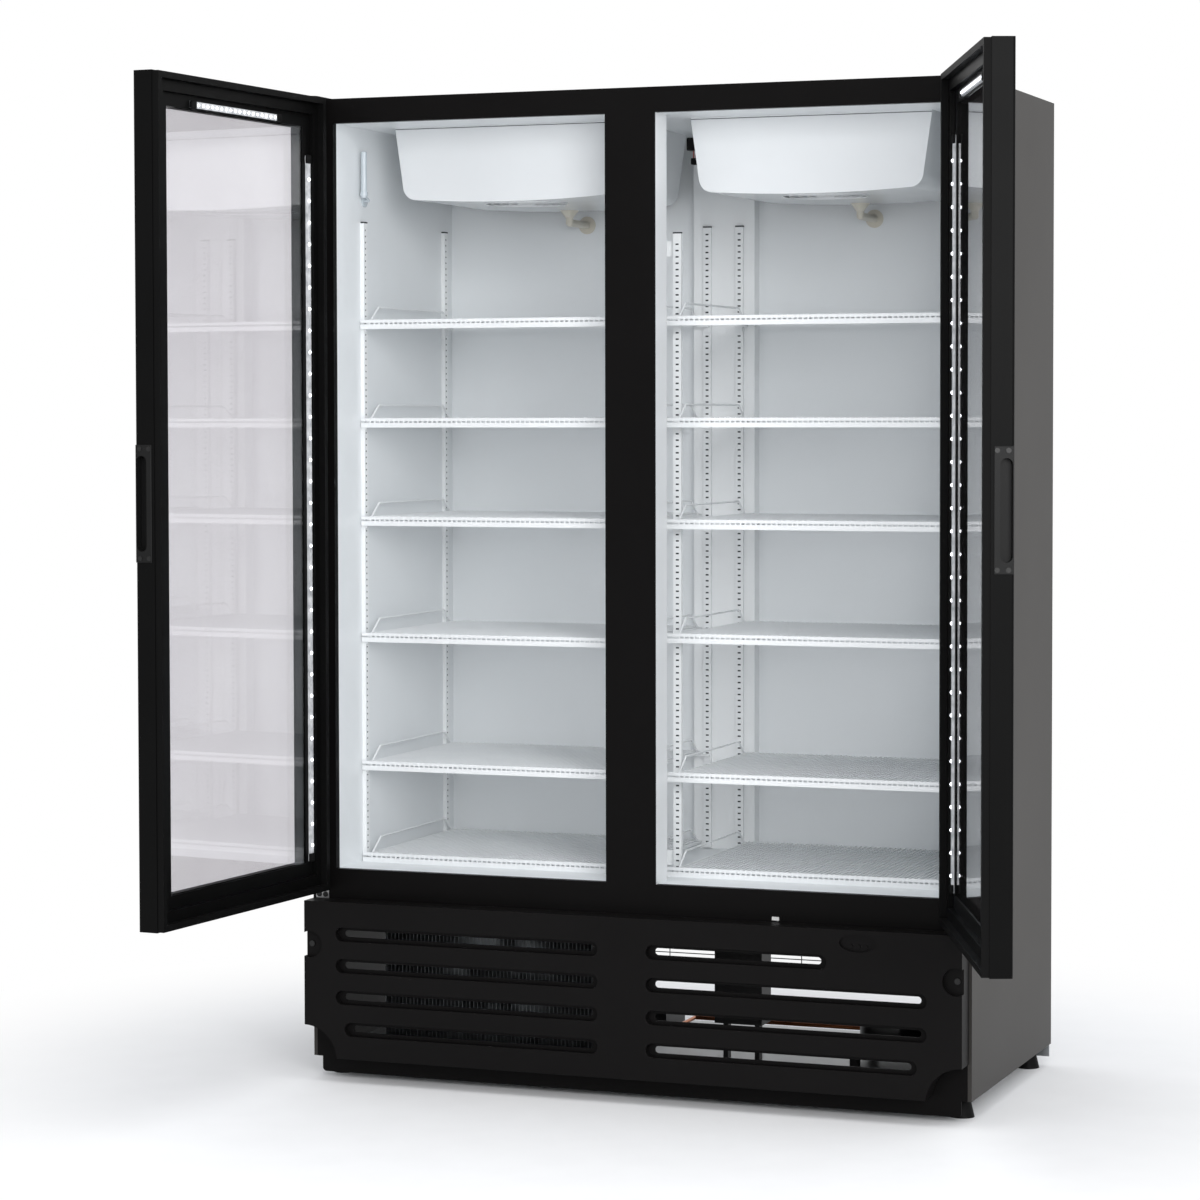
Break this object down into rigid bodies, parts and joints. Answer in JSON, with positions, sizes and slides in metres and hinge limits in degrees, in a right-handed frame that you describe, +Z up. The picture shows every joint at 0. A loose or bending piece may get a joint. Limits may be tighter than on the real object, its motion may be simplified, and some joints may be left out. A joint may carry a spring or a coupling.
{
  "type": "display cooler",
  "caption": "Black upright display cooler with two hinged glass doors standing open, lit white inside, wire shelves on slotted strips, ceiling cooling units and a slotted grille below.",
  "frame": {"origin": "on the floor, in the cabinet's middle plane, below its front face", "axes": "+X to the right as seen from the front, +Y from the front to the back, +Z up"},
  "size_m": [1.6646, 1.3224, 2.005],
  "materials": {
    "black_steel": "satin",
    "white_steel": "satin",
    "grey_steel": "satin",
    "galvanised_steel": "dull",
    "stainless_steel": "brushed",
    "zinc_screws": "plated",
    "white_wire": "coated",
    "aluminium_fins": "dull",
    "copper_line": "drawn",
    "black_plastic": "fine texture",
    "grey_plastic": "fine texture",
    "white_plastic": "gloss",
    "cream_plastic": "smooth",
    "foam": "closed cell",
    "black_gasket": "matte",
    "black_rubber": "matte",
    "clear_glass": "polished",
    "lamp_plastic": "clear"
  },
  "bodies": {
    "cabinet": {"base_pan": "galvanised_steel", "bottom_hinges": "stainless_steel", "cabinet_screws": "zinc_screws", "centre_frame": "white_steel", "compressor": "black_steel", "compressor_mounts": "black_rubber", "condenser": "aluminium_fins", "control_box": "grey_plastic", "controller": "black_plastic", "discharge_line": "copper_line", "drain_pipes": "cream_plastic", "evaporation_pan": "grey_plastic", "evaporator_coils": "aluminium_fins", "evaporator_covers": "white_plastic", "fan_motors": "grey_steel", "fan_shroud": "grey_steel", "floor_racks": "white_wire", "front_frame": "black_steel", "grille": "black_plastic", "insulation_foam": "foam", "kick_strip": "black_steel", "left_shelves": "white_wire", "levelling_feet": "black_plastic", "light_switch": "black_plastic", "liner": "white_steel", "mullion": "white_steel", "mullion_cap": "black_steel", "outer_shell": "black_steel", "power_gland": "black_plastic", "rear_panel": "galvanised_steel", "rear_post": "white_steel", "right_shelves": "white_wire", "shelf_clips": "white_steel", "shelf_strips": "white_steel", "thermometer": "white_plastic", "thermometer_clip": "white_plastic", "top_hinges": "black_steel"},
    "left_door": {"left_door_frame": "black_steel", "left_door_glass": "clear_glass", "left_glass_spacer": "black_plastic", "left_door_gasket": "black_gasket", "left_pull_plate": "grey_steel", "left_pull_screws": "zinc_screws", "left_hinge_bushes": "black_plastic", "left_door_lamps": "lamp_plastic"},
    "right_door": {"right_door_frame": "black_steel", "right_door_glass": "clear_glass", "right_glass_spacer": "black_plastic", "right_door_gasket": "black_gasket", "right_pull_plate": "grey_steel", "right_pull_screws": "zinc_screws", "right_hinge_bushes": "black_plastic", "right_door_lamps": "lamp_plastic"},
    "left_evaporator_wheel": {"left_evaporator_fan": "black_plastic"},
    "right_evaporator_wheel": {"right_evaporator_fan": "black_plastic"},
    "cooling_wheel": {"cooling_fan": "black_plastic"},
    "light_switch_rocker": {"light_rocker": "white_plastic"},
    "down_key": {"key_down": "grey_plastic"},
    "set_key": {"key_set": "grey_plastic"},
    "up_key": {"key_up": "grey_plastic"}
  },
  "joints": [
    {"name": "left_door_hinge", "type": "hinge", "parent": "cabinet", "child": "left_door", "pos_m": [-0.673, -0.034, 1.1945], "axis": [0, 0, 1], "range_deg": [-26, 93.9]},
    {"name": "right_door_hinge", "type": "hinge", "parent": "cabinet", "child": "right_door", "pos_m": [0.673, -0.034, 1.1945], "axis": [0, 0, -1], "range_deg": [-8, 111.8]},
    {"name": "left_evaporator_fan_spin", "type": "hinge", "parent": "cabinet", "child": "left_evaporator_wheel", "pos_m": [-0.323, 0.255, 1.831], "axis": [0, 0, 1], "continuous": true},
    {"name": "right_evaporator_fan_spin", "type": "hinge", "parent": "cabinet", "child": "right_evaporator_wheel", "pos_m": [0.323, 0.255, 1.831], "axis": [0, 0, 1], "continuous": true},
    {"name": "cooling_fan_spin", "type": "hinge", "parent": "cabinet", "child": "cooling_wheel", "pos_m": [-0.31, 0.15, 0.1935], "axis": [0, 1, 0], "continuous": true},
    {"name": "light_rocker_tilt", "type": "hinge", "parent": "cabinet", "child": "light_switch_rocker", "pos_m": [0.302, 0.0025, 0.376], "axis": [0, 0, 1], "range_deg": [0, 16]},
    {"name": "key_down_press", "type": "slide", "parent": "cabinet", "child": "down_key", "axis": [0, 1, 0], "range_m": [0, 0.0012], "stiffness_N_per_m": 300},
    {"name": "key_set_press", "type": "slide", "parent": "cabinet", "child": "set_key", "axis": [0, 1, 0], "range_m": [0, 0.0012], "stiffness_N_per_m": 300},
    {"name": "key_up_press", "type": "slide", "parent": "cabinet", "child": "up_key", "axis": [0, 1, 0], "range_m": [0, 0.0012], "stiffness_N_per_m": 300}
  ]
}
